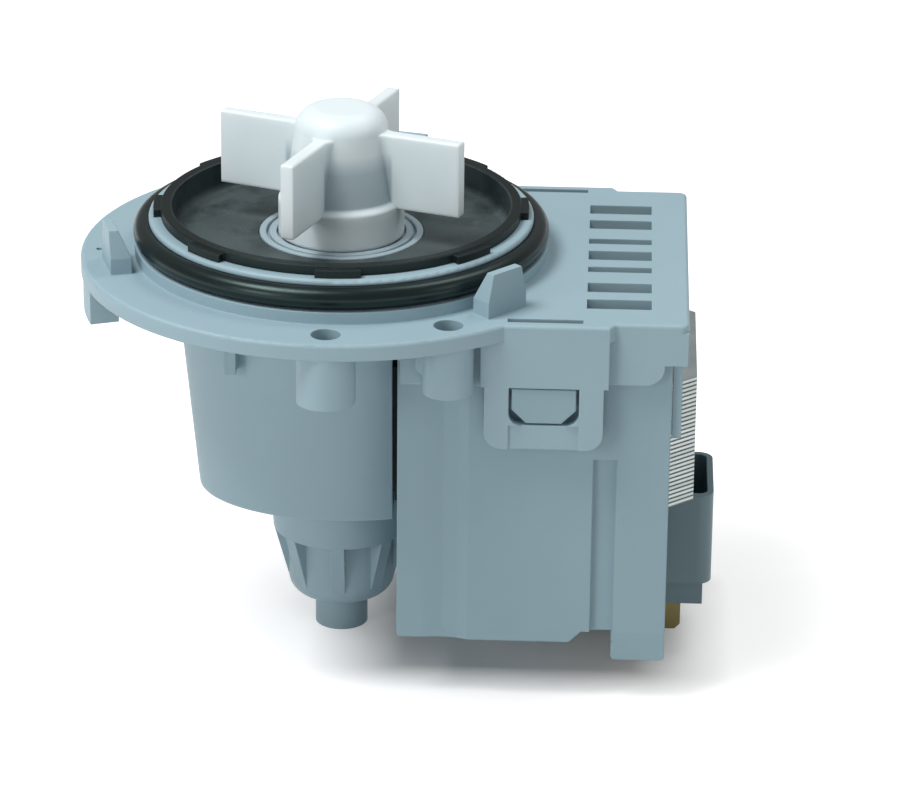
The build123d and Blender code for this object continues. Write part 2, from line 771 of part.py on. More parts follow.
# Laminated core: a yoke, two legs and two pole shoes that clasp the can
with BuildPart() as stator_core:
    with BuildSketch(Plane.XY.offset(-stack_bottom)) as core_outline:
        for side in (-1, 1):
            with Locations(((shoe_x0 + shoe_x1) / 2, side * (shoe_gap + drum_half_y) / 2)):
                Rectangle(shoe_x1 - shoe_x0, drum_half_y - shoe_gap)
        Ellipse(shoe_half_x, shoe_half_y, mode=Mode.INTERSECT)
        for side in (-1, 1):
            with Locations(((core_leg_x0 + rivet_x) / 2, side * core_leg_y)):
                Rectangle(rivet_x - core_leg_x0, core_leg_w)
        Circle(pole_bore_r, mode=Mode.SUBTRACT)
        Polygon(
            (yoke_x0, -yoke_half_w),
            (yoke_x1 - yoke_chamfer_x, -yoke_half_w),
            (yoke_x1, -yoke_half_w + yoke_chamfer_y),
            (yoke_x1, yoke_half_w - yoke_chamfer_y),
            (yoke_x1 - yoke_chamfer_x, yoke_half_w),
            (yoke_x0, yoke_half_w),
            align=None,
        )
    extrude(amount=stack_t)
    # the joints between the sheets show as fine grooves round the bare end of the yoke
    for sheet in range(1, lamination_count):
        groove_z = -stack_bottom + sheet * stack_t / lamination_count - lamination_gap / 2
        with BuildSketch(Plane.XY.offset(groove_z)):
            with Locations((yoke_x1, 0)):
                Rectangle(2 * (yoke_x1 - box_x1), 2 * (yoke_half_w + cut_over))
            Polygon(
                (yoke_x0, -yoke_half_w + lamination_sink),
                (yoke_x1 - yoke_chamfer_x, -yoke_half_w + lamination_sink),
                (yoke_x1 - lamination_sink, -yoke_half_w + yoke_chamfer_y + lamination_sink),
                (yoke_x1 - lamination_sink, yoke_half_w - yoke_chamfer_y - lamination_sink),
                (yoke_x1 - yoke_chamfer_x, yoke_half_w - lamination_sink),
                (yoke_x0, yoke_half_w - lamination_sink),
                align=None,
                mode=Mode.SUBTRACT,
            )
        extrude(amount=lamination_gap, mode=Mode.SUBTRACT)
    with BuildSketch(Plane.XY.offset(-stack_bottom - cut_over)):
        with Locations((rivet_x, -core_leg_y), (rivet_x, core_leg_y)):
            Circle(rivet_r)
    extrude(amount=stack_t + 2 * cut_over, mode=Mode.SUBTRACT)
stator_core.part.label = "stator_core"
export_step(stator_core.part, "parts/stator_core.step")

# Two rivets clamp the sheets of the yoke
with BuildPart() as core_rivets:
    with BuildSketch(Plane.XY.offset(-stack_bottom - rivet_head_t)):
        with Locations((rivet_x, -core_leg_y), (rivet_x, core_leg_y)):
            Circle(rivet_head_r)
    extrude(amount=rivet_head_t)
    with BuildSketch(Plane.XY.offset(-stack_bottom)):
        with Locations((rivet_x, -core_leg_y), (rivet_x, core_leg_y)):
            Circle(rivet_r)
    extrude(amount=stack_t)
    with BuildSketch(Plane.XY.offset(-stack_top)):
        with Locations((rivet_x, -core_leg_y), (rivet_x, core_leg_y)):
            Circle(rivet_head_r)
    extrude(amount=rivet_head_t)
core_rivets.part.label = "core_rivets"
export_step(core_rivets.part, "parts/core_rivets.step")

# Coils: a bobbin on each leg, its winding and the tape round it
for side, place in ((-1, "front"), (1, "rear")):
    centre = (side * core_leg_y, -stack_mid)
    with BuildPart() as bobbin:
        with BuildSketch(Plane.YZ.offset(bobbin_x0)):
            with Locations(centre):
                Rectangle(tube_w, tube_h)
                Rectangle(core_leg_w + 2 * slide_gap, stack_t + 2 * slide_gap, mode=Mode.SUBTRACT)
        extrude(amount=bobbin_x1 - bobbin_x0)
        for start in (bobbin_x0, bobbin_x1 - bobbin_flange_t):
            with BuildSketch(Plane.YZ.offset(start)):
                with Locations(centre):
                    RectangleRounded(coil_w + 2 * flange_over, coil_h + 2 * flange_over, coil_corner_r)
                    Rectangle(tube_w, tube_h, mode=Mode.SUBTRACT)
            extrude(amount=bobbin_flange_t)
    bobbin.part.label = f"bobbin_{place}"
    export_step(bobbin.part, f"parts/bobbin_{place}.step")

    with BuildPart() as winding:
        with BuildSketch(Plane.YZ.offset(bobbin_x0 + bobbin_flange_t)):
            with Locations(centre):
                RectangleRounded(wire_w, wire_h, coil_corner_r - tape_t)
                Rectangle(tube_w, tube_h, mode=Mode.SUBTRACT)
        extrude(amount=bobbin_x1 - bobbin_x0 - 2 * bobbin_flange_t)
    winding.part.label = f"winding_{place}"
    export_step(winding.part, f"parts/winding_{place}.step")

    with BuildPart() as tape:
        with BuildSketch(Plane.YZ.offset(bobbin_x0 + bobbin_flange_t)):
            with Locations(centre):
                RectangleRounded(coil_w, coil_h, coil_corner_r)
                RectangleRounded(wire_w, wire_h, coil_corner_r - tape_t, mode=Mode.SUBTRACT)
        extrude(amount=bobbin_x1 - bobbin_x0 - 2 * bobbin_flange_t)
    tape.part.label = f"winding_tape_{place}"
    export_step(tape.part, f"parts/winding_tape_{place}.step")

# Thermal fuse that lies on the rear coil
with BuildPart() as thermal_fuse:
    with BuildSketch(Plane.YZ.offset(fuse_x - fuse_len / 2)):
        with Locations((core_leg_y, -stack_mid + coil_h / 2 + fuse_r)):
            Circle(fuse_r)
    extrude(amount=fuse_len)
    chamfer(thermal_fuse.edges().filter_by(GeomType.CIRCLE), fuse_r / 4)
thermal_fuse.part.label = "thermal_fuse"
export_step(thermal_fuse.part, "parts/thermal_fuse.step")

# Terminal carrier: a block under the yoke, with a pocket for the wires past the yoke's end
with BuildPart() as terminal_carrier:
    with BuildSketch(Plane.XY.offset(-carrier_bottom)) as carrier_outline:
        with Locations(((carrier_x0 + carrier_x1) / 2, 0)):
            Rectangle(carrier_len, 2 * carrier_half_w)
        fillet(carrier_outline.vertices().group_by(Axis.X)[-1], carrier_corner_r)
    extrude(amount=carrier_h)
    with BuildSketch(Plane.XY.offset(-carrier_top)) as pocket:
        with Locations(((terminal_x1 + carrier_x1) / 2, 0)):
            Rectangle(carrier_x1 - terminal_x1 - 2 * carrier_wall, 2 * (carrier_half_w - carrier_wall))
        fillet(pocket.vertices().group_by(Axis.X)[-1], carrier_corner_r - carrier_wall)
    extrude(amount=carrier_floor_t - carrier_h, mode=Mode.SUBTRACT)
    # pad that carries the yoke
    with BuildSketch(Plane.XY.offset(-carrier_top)):
        with Locations(((carrier_x0 + terminal_x1) / 2, 0)):
            Rectangle(terminal_x1 - carrier_x0, 2 * (carrier_half_w - carrier_wall))
    extrude(amount=carrier_drop - slide_gap)
    with BuildSketch(Plane.XY.offset(-carrier_bottom)):
        with Locations(((carrier_x0 + carrier_x1) / 2, 0)):
            Rectangle(carrier_len - 2 * foot_inset_x, 2 * (carrier_half_w - foot_inset_y))
    extrude(amount=-foot_h)
    slot_bottom = carrier_foot_bottom + cut_over
    for terminal_y in terminal_ys:
        with BuildSketch(Plane.XZ.offset(-terminal_y - terminal_t / 2)):
            with Locations((terminal_x1 - terminal_w / 2, -(terminal_top + slot_bottom) / 2)):
                Rectangle(terminal_w, slot_bottom - terminal_top)
            with Locations(((carrier_x0 + terminal_x0) / 2, -terminal_top - terminal_arm_h / 2)):
                Rectangle(terminal_x0 - carrier_x0 + 2 * cut_over, terminal_arm_h)
        extrude(amount=terminal_t, mode=Mode.SUBTRACT)
terminal_carrier.part.label = "terminal_carrier"
export_step(terminal_carrier.part, "parts/terminal_carrier.step")

# Two flat brass terminals that hang out of the carrier's foot
for terminal_y, place in zip(terminal_ys, ("front", "rear")):
    with BuildPart() as terminal:
        with BuildSketch(Plane.XZ.offset(-terminal_y - terminal_t / 2)):
            Polygon(
                (terminal_arm_x0, -terminal_top),
                (terminal_x1, -terminal_top),
                (terminal_x1, -terminal_bottom + terminal_chamfer),
                (terminal_x1 - terminal_chamfer, -terminal_bottom),
                (terminal_x0 + terminal_chamfer, -terminal_bottom),
                (terminal_x0, -terminal_bottom + terminal_chamfer),
                (terminal_x0, -terminal_top - terminal_arm_h),
                (terminal_arm_x0, -terminal_top - terminal_arm_h),
                align=None,
            )
        extrude(amount=terminal_t)
    terminal.part.label = f"terminal_{place}"
    export_step(terminal.part, f"parts/terminal_{place}.step")

# Ends of the coil wire that meet the terminals, and the link between the two coils
with BuildPart() as coil_leads:
    with BuildSketch(Plane.YZ.offset(bobbin_x1)):
        with Locations(*[(y, -terminal_top - terminal_arm_h / 2) for y in terminal_ys]):
            Circle(lead_r)
    extrude(amount=terminal_arm_x0 - bobbin_x1)
    with BuildSketch(Plane.XZ.offset(-core_leg_inner)):
        with Locations((bobbin_x1 + lead_r, -stack_top + bobbin_wall + coil_build / 2)):
            Circle(lead_r)
    extrude(amount=2 * core_leg_inner)
coil_leads.part.label = "coil_leads"
export_step(coil_leads.part, "parts/coil_leads.step")

# Black insert that lines the chamber: a shallow cup whose rim clips over the lip
with BuildPart() as chamber_insert:
    with BuildSketch(Plane.XZ):
        Polygon(
            (cover_r + slide_gap, insert_floor_top - insert_floor_t),
            (insert_barrel_r, insert_floor_top - insert_floor_t),
            (insert_barrel_r, spigot_h),
            (insert_rim_r, spigot_h),
            (insert_rim_r, insert_top),
            (insert_bore_r, insert_top),
            (insert_bore_r, insert_floor_top),
            (cover_r + slide_gap, insert_floor_top),
            align=None,
        )
    revolve(axis=Axis.Z)
    rim_edges = chamber_insert.edges().filter_by(GeomType.CIRCLE).filter_by(Plane.XY).group_by(Axis.Z)[-1]
    fillet(rim_edges, insert_edge_r)
    floor_edges = chamber_insert.edges().filter_by(GeomType.CIRCLE).filter_by_position(
        Axis.Z, insert_floor_top - slide_gap, insert_floor_top + slide_gap)
    fillet(floor_edges.sort_by(SortBy.RADIUS)[-1], insert_round)
    with BuildSketch(Plane.XY.offset(spigot_h)):
        for tab in range(insert_tab_count):
            tab_angle = insert_turn + tab * 360 / insert_tab_count
            add(sector(insert_rim_r - insert_wall, insert_tab_r, tab_angle, insert_tab_half_angle))
    extrude(amount=insert_top - insert_tab_drop - spigot_h)
chamber_insert.part.label = "chamber_insert"
export_step(chamber_insert.part, "parts/chamber_insert.step")

# Rubber ring in the groove under the lip, which seals the flange
with BuildPart() as flange_seal:
    with BuildSketch(Plane.XZ):
        with Locations((oring_ring_r, oring_z)):
            Circle(oring_r)
    revolve(axis=Axis.Z)
flange_seal.part.label = "flange_seal"
export_step(flange_seal.part, "parts/flange_seal.step")

# Bearing cover: closes the can, holds the front bush and the seal, and shows two rings round the hub
with BuildPart() as bearing_cover:
    with BuildSketch(Plane.XZ):
        Polygon(
            (cover_pocket_r, cover_neck_top),
            (cover_neck_r, cover_neck_top),
            (cover_neck_r, cover_top - cover_inner_drop),
            (hub_skirt_r + running_gap, cover_top - cover_inner_drop),
            (hub_skirt_r + running_gap, cover_top),
            (cover_r, cover_top),
            (cover_r, web_top),
            (can_bore_r - shaft_play, web_top),
            (can_bore_r - shaft_play, cover_plug_bottom),
            (cover_boss_r, cover_plug_bottom),
            (cover_boss_r, front_bush_bottom),
            (cover_pocket_r, front_bush_bottom),
            (cover_pocket_r, front_bush_top),
            (cover_web_bore_r, front_bush_top),
            (cover_web_bore_r, seal_z),
            (cover_pocket_r, seal_z),
            align=None,
        )
        with Locations((cover_groove_r, cover_top)):
            Rectangle(cover_groove_w, 2 * cover_groove_depth, mode=Mode.SUBTRACT)
    revolve(axis=Axis.Z)
    ring_edges = bearing_cover.edges().filter_by(GeomType.CIRCLE).filter_by_position(
        Axis.Z, cover_top - cover_edge_r, cover_top + cover_edge_r)
    fillet(ring_edges, cover_edge_r)
bearing_cover.part.label = "bearing_cover"
export_step(bearing_cover.part, "parts/bearing_cover.step")

# Lip seal on the shaft, pressed into the neck of the bearing cover
with BuildPart() as shaft_seal:
    with BuildSketch(Plane.XZ):
        Polygon(
            (cover_pocket_r, seal_z),
            (cover_pocket_r, seal_z + seal_h),
            (cover_pocket_r - seal_wall, seal_z + seal_h),
            (cover_pocket_r - seal_wall, seal_z + seal_wall + seal_lip_t),
            (shaft_r + shaft_play, seal_z + seal_lip_z + seal_lip_t),
            (shaft_r + shaft_play, seal_z + seal_lip_z),
            (cover_pocket_r - seal_wall, seal_z + seal_wall),
            (cover_pocket_r - seal_wall, seal_z),
            align=None,
        )
    revolve(axis=Axis.Z)
shaft_seal.part.label = "shaft_seal"
export_step(shaft_seal.part, "parts/shaft_seal.step")


def tube(name, outer, inner, bottom, height):
    """Plain upright ring on the axis, labelled and written under its name."""
    with BuildPart() as ring:
        with BuildSketch(Plane.XY.offset(bottom)):
            Circle(outer)
            Circle(inner, mode=Mode.SUBTRACT)
        extrude(amount=height)
    ring.part.label = name
    export_step(ring.part, f"parts/{name}.step")


# Bushes, each in its rubber ring, and the thrust washers that turn with the rotor
tube("front_bush", bush_r, shaft_r + shaft_play, front_bush_bottom, front_bush_len)
tube("front_bush_ring", cover_pocket_r, bush_r, front_bush_bottom, front_bush_len)
tube("rear_bush", bush_r, shaft_r + shaft_play, -pocket_bottom, rear_bush_len)
tube("rear_bush_ring", pocket_r - shaft_play, bush_r, -pocket_bottom, rear_bush_len)
tube("thrust_washer_front", washer_r, shaft_r, sleeve_top, washer_t)
tube("thrust_washer_rear", washer_r, shaft_r, sleeve_bottom - washer_t, washer_t)

# Magnet and the two rings that hold its ends
tube("rotor_magnet", magnet_r, magnet_bore_r, magnet_bottom, magnet_len)
tube("end_ring_front", magnet_r - end_ring_inset, magnet_bore_r, magnet_top, end_ring_t)
tube("end_ring_rear", magnet_r - end_ring_inset, magnet_bore_r, magnet_bottom - end_ring_t, end_ring_t)

# Shaft
with BuildPart() as rotor_shaft:
    with BuildSketch(Plane.XY.offset(-shaft_bottom)):
        Circle(shaft_r)
    extrude(amount=shaft_bottom + shaft_top)
    chamfer(rotor_shaft.edges().filter_by(GeomType.CIRCLE), shaft_chamfer)
rotor_shaft.part.label = "rotor_shaft"
export_step(rotor_shaft.part, "parts/rotor_shaft.step")

# Plastic sleeve moulded between the shaft and the magnet
with BuildPart() as rotor_sleeve:
    with BuildSketch(Plane.XZ):
        Polygon(
            (shaft_r, sleeve_top),
            (washer_r, sleeve_top),
            (washer_r, magnet_top + end_ring_t),
            (magnet_bore_r, magnet_top + end_ring_t),
            (magnet_bore_r, magnet_bottom - end_ring_t),
            (washer_r, magnet_bottom - end_ring_t),
            (washer_r, sleeve_bottom),
            (shaft_r, sleeve_bottom),
            align=None,
        )
    revolve(axis=Axis.Z)
rotor_sleeve.part.label = "rotor_sleeve"
export_step(rotor_sleeve.part, "parts/rotor_sleeve.step")

# Driving dog pressed on the shaft, with the spine that carries the damper
with BuildPart() as drive_dog:
    with BuildSketch(Plane.XY.offset(dog_bottom)):
        Circle(dog_r)
        Circle(shaft_r, mode=Mode.SUBTRACT)
    extrude(amount=dog_top - dog_bottom)
    with BuildSketch(Plane.XY.offset(damper_bottom)):
        add(sector((dog_r + shaft_r) / 2, spine_r, dog_angle, spine_half_angle))
    extrude(amount=damper_top - damper_bottom)
drive_dog.part.label = "drive_dog"
export_step(drive_dog.part, "parts/drive_dog.step")

# Rubber damper that straddles the spine
with BuildPart() as dog_damper:
    with BuildSketch(Plane.XY.offset(damper_bottom)):
        add(sector(dog_r + damper_play, damper_r, dog_angle, damper_half_angle))
        add(sector(shaft_r, spine_r + damper_play, dog_angle, damper_slot_half_angle), mode=Mode.SUBTRACT)
    extrude(amount=damper_top - damper_bottom)
dog_damper.part.label = "dog_damper"
export_step(dog_damper.part, "parts/dog_damper.step")

# Clip on the shaft's end, over the dog
tube("dog_clip", clip_r, shaft_r, dog_top, clip_t)

# The four blades, whose roots flare round the hub
with BuildPart() as blades:
    with BuildSketch(Plane.XY.offset(blade_bottom)) as blade_plan:
        Circle(hub_top_r - blade_root_sink)
        with PolarLocations(0, blade_count, start_angle=blade_angle):
            Polygon(
                (hub_top_r / 2, -blade_t / 2),
                (blade_tip_r, -blade_tip_t / 2),
                (blade_tip_r, blade_tip_t / 2),
                (hub_top_r / 2, blade_t / 2),
                align=None,
            )
        roots = blade_plan.vertices().filter_by(lambda corner: corner.center().length < hub_foot_r)
        fillet(roots, blade_root_r)
    extrude(amount=blade_top - blade_bottom)
    fillet(blades.edges().group_by(Axis.Z)[-1], blade_edge_r)

# Impeller: hub with a rounded top, a skirt and the four blades
with BuildPart() as impeller:
    with BuildSketch(Plane.XZ):
        with BuildLine():
            Polyline(
                (0, hub_skirt_bottom),
                (hub_skirt_r, hub_skirt_bottom),
                (hub_skirt_r, hub_skirt_top),
                (hub_foot_r, hub_skirt_top + hub_shoulder_rise),
                (hub_top_r, hub_top_z),
            )
            CenterArc((hub_top_r - hub_top_round, hub_top_z), hub_top_round, 0, 90)
            Polyline(
                (hub_top_r - hub_top_round, hub_top_z + hub_top_round),
                (0, hub_top_z + hub_top_round),
                (0, hub_skirt_bottom),
            )
        make_face()
    revolve(axis=Axis.Z)
    skirt_edges = impeller.edges().filter_by(GeomType.CIRCLE).filter_by(Plane.XY).group_by(SortBy.RADIUS)[-1]
    fillet(skirt_edges, hub_edge_r)
    add(blades.part)
    # hollow for the bearing cover's neck, seat of the cap, chamber of the dog and its socket
    for radius, low, high in (
        (hub_skirt_bore_r, hub_skirt_bottom - cut_over, hub_skirt_ceiling),
        (hub_cap_r + shaft_play, hub_skirt_ceiling - cut_over, hub_skirt_ceiling + hub_cap_t),
        (chamber_r, hub_skirt_ceiling, chamber_top),
        (socket_r, chamber_top - cut_over, socket_top),
    ):
        with BuildSketch(Plane.XY.offset(low)):
            Circle(radius)
        extrude(amount=high - low, mode=Mode.SUBTRACT)
    # lug that the dog pushes
    with BuildSketch(Plane.XY.offset(hub_lug_bottom)):
        add(sector(hub_lug_r, chamber_r + slide_gap, hub_lug_angle, hub_lug_half_angle))
    extrude(amount=chamber_top + slide_gap - hub_lug_bottom)
impeller.part.label = "impeller"
export_step(impeller.part, "parts/impeller.step")

# Cap that closes the dog's chamber from below
tube("hub_cap", hub_cap_r, socket_r, hub_skirt_ceiling, hub_cap_t)
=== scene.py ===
from math import cos, pi, radians, sin

import bpy
from mathutils import Matrix, Vector


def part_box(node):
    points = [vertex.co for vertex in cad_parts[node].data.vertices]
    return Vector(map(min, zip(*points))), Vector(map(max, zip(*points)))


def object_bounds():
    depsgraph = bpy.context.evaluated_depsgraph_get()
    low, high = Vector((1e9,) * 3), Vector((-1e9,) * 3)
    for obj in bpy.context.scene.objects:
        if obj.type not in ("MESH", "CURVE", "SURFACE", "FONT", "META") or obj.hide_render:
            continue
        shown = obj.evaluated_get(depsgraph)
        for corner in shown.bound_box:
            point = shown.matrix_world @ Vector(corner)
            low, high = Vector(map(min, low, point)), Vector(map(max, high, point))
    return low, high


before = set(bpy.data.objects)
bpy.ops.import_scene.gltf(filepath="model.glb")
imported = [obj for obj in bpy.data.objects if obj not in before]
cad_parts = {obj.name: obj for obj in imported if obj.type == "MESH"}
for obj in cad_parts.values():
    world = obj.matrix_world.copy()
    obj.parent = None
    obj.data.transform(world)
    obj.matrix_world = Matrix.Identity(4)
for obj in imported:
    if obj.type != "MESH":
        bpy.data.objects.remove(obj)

MM = 0.001
cad_low, cad_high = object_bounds()


# Front housing: one injection moulding in matte blue-grey glass-filled plastic.  Its mould was
# spark eroded, so the faces carry a fine even grain, and handling has rubbed the edges lighter.
# The latch tongues and the lug under the flange are part of the same moulding.
class Flow:
    """A socket in a material: sums written with it add their own Math nodes."""

    def __init__(self, tree, socket=None):
        self.tree = tree
        self.socket = socket

    def node(self, kind, settings, sockets, output=0):
        """Adds one node: its settings first, then the values or links of its sockets."""
        made = self.tree.nodes.new(kind)
        for setting, value in settings.items():
            setattr(made, setting, value)
        for place, value in sockets.items():
            if isinstance(value, Flow):
                self.tree.links.new(value.socket, made.inputs[place])
            else:
                made.inputs[place].default_value = value
        return Flow(self.tree, made.outputs[output])

    def maths(self, operation, first, second=0.0):
        return self.node("ShaderNodeMath", {"operation": operation}, {0: first, 1: second})

    def __add__(self, other):
        return self.maths("ADD", self, other)

    def __radd__(self, other):
        return self.maths("ADD", other, self)

    def __sub__(self, other):
        return self.maths("SUBTRACT", self, other)

    def __rsub__(self, other):
        return self.maths("SUBTRACT", other, self)

    def __mul__(self, other):
        return self.maths("MULTIPLY", self, other)

    def __rmul__(self, other):
        return self.maths("MULTIPLY", other, self)

    def __truediv__(self, other):
        return self.maths("DIVIDE", self, other)

    def __pow__(self, other):
        return self.maths("POWER", self, other)

    def clamped(self):
        return self.node("ShaderNodeClamp", {}, {0: self})


def finish(name, constants):
    """A new material with a Principled shader, whose plain sockets get these values."""
    material = bpy.data.materials.new(name)
    material.use_nodes = True
    shader = material.node_tree.nodes["Principled BSDF"]
    for socket, value in constants.items():
        shader.inputs[socket].default_value = value
    return material, Flow(material.node_tree), shader


def feed(nodes, shader, sockets):
    """Links what varies over the surface to the shader."""
    for socket, flow in sockets.items():
        nodes.tree.links.new(flow.socket, shader.inputs[socket])


def dress(material, *names):
    """Puts the material on these pieces of the frame."""
    for name in names:
        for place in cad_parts[name].material_slots:
            place.material = material


def object_place(nodes):
    """Where a point lies on its piece, in metres."""
    return nodes.node("ShaderNodeTexCoord", {}, {}, "Object")


def noise(nodes, place, size, detail=2.0, roughness=0.5):
    """Soft random pattern from 0 to 1 whose blots are about this size in metres."""
    settings = {"Vector": place, "Scale": 1 / size, "Detail": detail, "Roughness": roughness}
    return nodes.node("ShaderNodeTexNoise", {}, settings)


def stretched(nodes, place, factors):
    """The same place with its three directions scaled."""
    return nodes.node("ShaderNodeVectorMath", {"operation": "MULTIPLY"}, {0: place, 1: factors})


def two_tones(nodes, mask, first, second):
    """First colour where the mask is 0, second where it is 1."""
    return nodes.node("ShaderNodeMix", {"data_type": "RGBA"}, {0: mask, 6: first, 7: second}, 2)


def soft_edge(nodes, radius):
    """Shading normal that rounds the sharp edges of a moulded or pressed piece."""
    return nodes.node("ShaderNodeBevel", {"samples": 6}, {"Radius": radius})


def edge_mask(nodes, rounded):
    """1 on the sharp edges and 0 on the flats."""
    flat = nodes.node("ShaderNodeNewGeometry", {}, {}, "Normal")
    sockets = {0: rounded, 1: flat}
    alike = nodes.node("ShaderNodeVectorMath", {"operation": "DOT_PRODUCT"}, sockets, "Value")
    return ((1 - alike) * 9.0).clamped()


def relief(nodes, height, depth, normal):
    """Bump of this depth in metres on top of the given normal."""
    sockets = {"Strength": 1.0, "Distance": depth, "Height": height, "Normal": normal}
    return nodes.node("ShaderNodeBump", {}, sockets)


def shade(tone, factor):
    """The tone made lighter or darker, as an opaque colour."""
    return tuple(part * factor for part in tone) + (1.0,)


def plain(tone):
    """The tone itself, as an opaque colour."""
    return shade(tone, 1.0)


flow_size = 22 * MM
blot_size = 5 * MM
dust_size = 0.42 * MM
eroded_grain = 0.16 * MM
grain_depth = 0.010 * MM
housing_tone = (0.316, 0.448, 0.506)
housing_edge_r = 0.3 * MM


def moulded(name, tone, edge_r, roughness, grain_size=eroded_grain):
    """Matte moulded plastic: eroded grain, faint flow shades, settled dust and rubbed edges."""
    material, nodes, shader = finish(name, {"IOR": 1.5, "Specular IOR Level": 0.42})
    place = object_place(nodes)
    rounded = soft_edge(nodes, edge_r)
    rubbed = edge_mask(nodes, rounded)
    flow_marks = noise(nodes, stretched(nodes, place, (1.0, 1.0, 0.35)), flow_size, 3.0)
    blots = noise(nodes, place, blot_size, 4.0, 0.62)
    grain = noise(nodes, place, grain_size, 2.0, 0.6)
    dust = ((noise(nodes, place, dust_size, 2.0) - 0.66) * 5.0).clamped()
    body = two_tones(nodes, flow_marks, shade(tone, 0.93), shade(tone, 1.07))
    body = two_tones(nodes, (blots * 0.5).clamped(), body, shade(tone, 0.95))
    body = two_tones(nodes, dust * 0.22, body, shade(tone, 1.32))
    body = two_tones(nodes, rubbed * 0.30, body, shade(tone, 1.45))
    gloss = roughness - 0.08 * blots + 0.10 * grain + 0.08 * dust
    surface = relief(nodes, grain + 0.6 * blots, grain_depth, rounded)
    feed(nodes, shader, {"Base Color": body, "Roughness": gloss, "Normal": surface})
    return material


housing_finish = moulded("housing_plastic", housing_tone, housing_edge_r, roughness=0.46)
dress(housing_finish, "front_housing")


# Stator cover: the box that snaps under the housing, moulded in the same plastic from another
# mould, a shade darker.  Two catches hold it in the windows of the housing's tongues.
cover_tone = (0.276, 0.404, 0.460)
cover_edge_r = 0.35 * MM
cover_finish = moulded("cover_plastic", cover_tone, cover_edge_r, roughness=0.44)
dress(cover_finish, "stator_cover")


# Bearing cover: a turned-looking moulding in the housing's plastic, pressed into the rotor's can.
# Its two rings stay in sight round the impeller's skirt.
bearing_tone = (0.37, 0.47, 0.52)
bearing_edge_r = 0.15 * MM
bearing_finish = moulded("bearing_cover_plastic", bearing_tone, bearing_edge_r, roughness=0.40)
dress(bearing_finish, "bearing_cover")


# Terminal carrier: a darker glass-filled block under the yoke.  It holds the two brass tabs, and
# the wires come down into its open pocket past the yoke's end.
carrier_tone = (0.146, 0.232, 0.264)
carrier_edge_r = 0.3 * MM
carrier_finish = moulded("carrier_plastic", carrier_tone, carrier_edge_r, roughness=0.42)
dress(carrier_finish, "terminal_carrier")


# Chamber insert: a thin black cup, clipped over the lip by the eight tabs on its rim.  Sand and
# coins drawn through the pump leave fine bright scratches round its floor and a grey film.  That
# film's lighter bluish grey inside the wall, most on the floor, is partly a painted sheen.
def along(nodes, vector, axis):
    """How much of a place or a direction lies along X, Y or Z."""
    return nodes.node("ShaderNodeSeparateXYZ", {}, {"Vector": vector}, axis)


def from_axis(nodes, place):
    """How far a point lies from the pump's own upright axis, in metres."""
    level_place = stretched(nodes, place, (1.0, 1.0, 0.0))
    return nodes.node("ShaderNodeVectorMath", {"operation": "LENGTH"}, {0: level_place}, "Value")


insert_tone = (0.0060, 0.0085, 0.0090)
film_and_sheen_tone = (0.068, 0.089, 0.093)
scratch_tone = (0.18, 0.20, 0.20)
worn_and_highlit_rim_tone = (0.075, 0.090, 0.092)
black_sheen = (0.70, 1.0, 0.98, 1.0)
floor_top = 3.3 * MM
floor_bend = 1.6 * MM
wall_r = 29.6 * MM
wall_step = 0.2 * MM
haze_size = 9 * MM
insert_edge_r = 0.2 * MM
insert_grain = 0.13 * MM
insert_relief = 0.008 * MM
scratch_sets = ((0.5, 0.55 * MM), (2.1, 0.75 * MM), (1.2, 0.65 * MM))
insert_finish, nodes, shader = finish("insert_plastic", {
    "IOR": 1.5,
    "Specular IOR Level": 0.32,
    "Specular Tint": black_sheen,
})
place = object_place(nodes)
rounded = soft_edge(nodes, insert_edge_r)
edges = edge_mask(nodes, rounded)
on_floor = (1 - (along(nodes, place, "Z") - floor_top) / floor_bend).clamped()
inside = ((wall_r - from_axis(nodes, place)) / wall_step).clamped()
haze = noise(nodes, place, haze_size, 5.0, 0.65)
grain = noise(nodes, place, insert_grain, 2.0, 0.6)
scratches = None
for turn, spacing in scratch_sets:
    sockets = {"Vector": place, "Angle": turn}
    turned = nodes.node("ShaderNodeVectorRotate", {"rotation_type": "Z_AXIS"}, sockets)
    lines = noise(nodes, stretched(nodes, turned, (0.035, 1.0, 1.0)), spacing, 1.0)
    fine = (1 - nodes.maths("ABSOLUTE", lines - 0.5) * 90.0).clamped()
    broken = ((noise(nodes, place, 5 * spacing, 2.0) - 0.54) * 9.0).clamped()
    scratches = fine * broken if scratches is None else scratches + fine * broken
scratches = (scratches * on_floor).clamped()
# Grey film, partly real and partly a painted sheen: lighter bluish grey inside the wall, most on
# the floor.
film_and_sheen = ((3.0 * haze - 0.62) * inside * (0.45 + 0.55 * on_floor)).clamped()
black = two_tones(nodes, film_and_sheen, plain(insert_tone), plain(film_and_sheen_tone))
black = two_tones(nodes, scratches * 0.45, black, plain(scratch_tone))
# Lighter edges: partly wear and partly a painted highlight on the rim.
black = two_tones(nodes, edges * 0.35, black, plain(worn_and_highlit_rim_tone))
feed(nodes, shader, {
    "Base Color": black,
    "Roughness": 0.34 + 0.14 * haze + 0.08 * grain,
    "Normal": relief(nodes, grain - 0.8 * scratches, insert_relief, rounded),
})
dress(insert_finish, "chamber_insert")


# Flange seal: a moulded ring of black nitrile rubber in the groove under the lip.  The mould's
# parting line runs round its outside, and silicone grease makes it shine softly.
seal_tone = (0.0045, 0.0075, 0.0078)
bloom_size = 4 * MM
rubber_skin = 0.22 * MM
parting_half = 0.09 * MM
parting_relief = 0.03 * MM


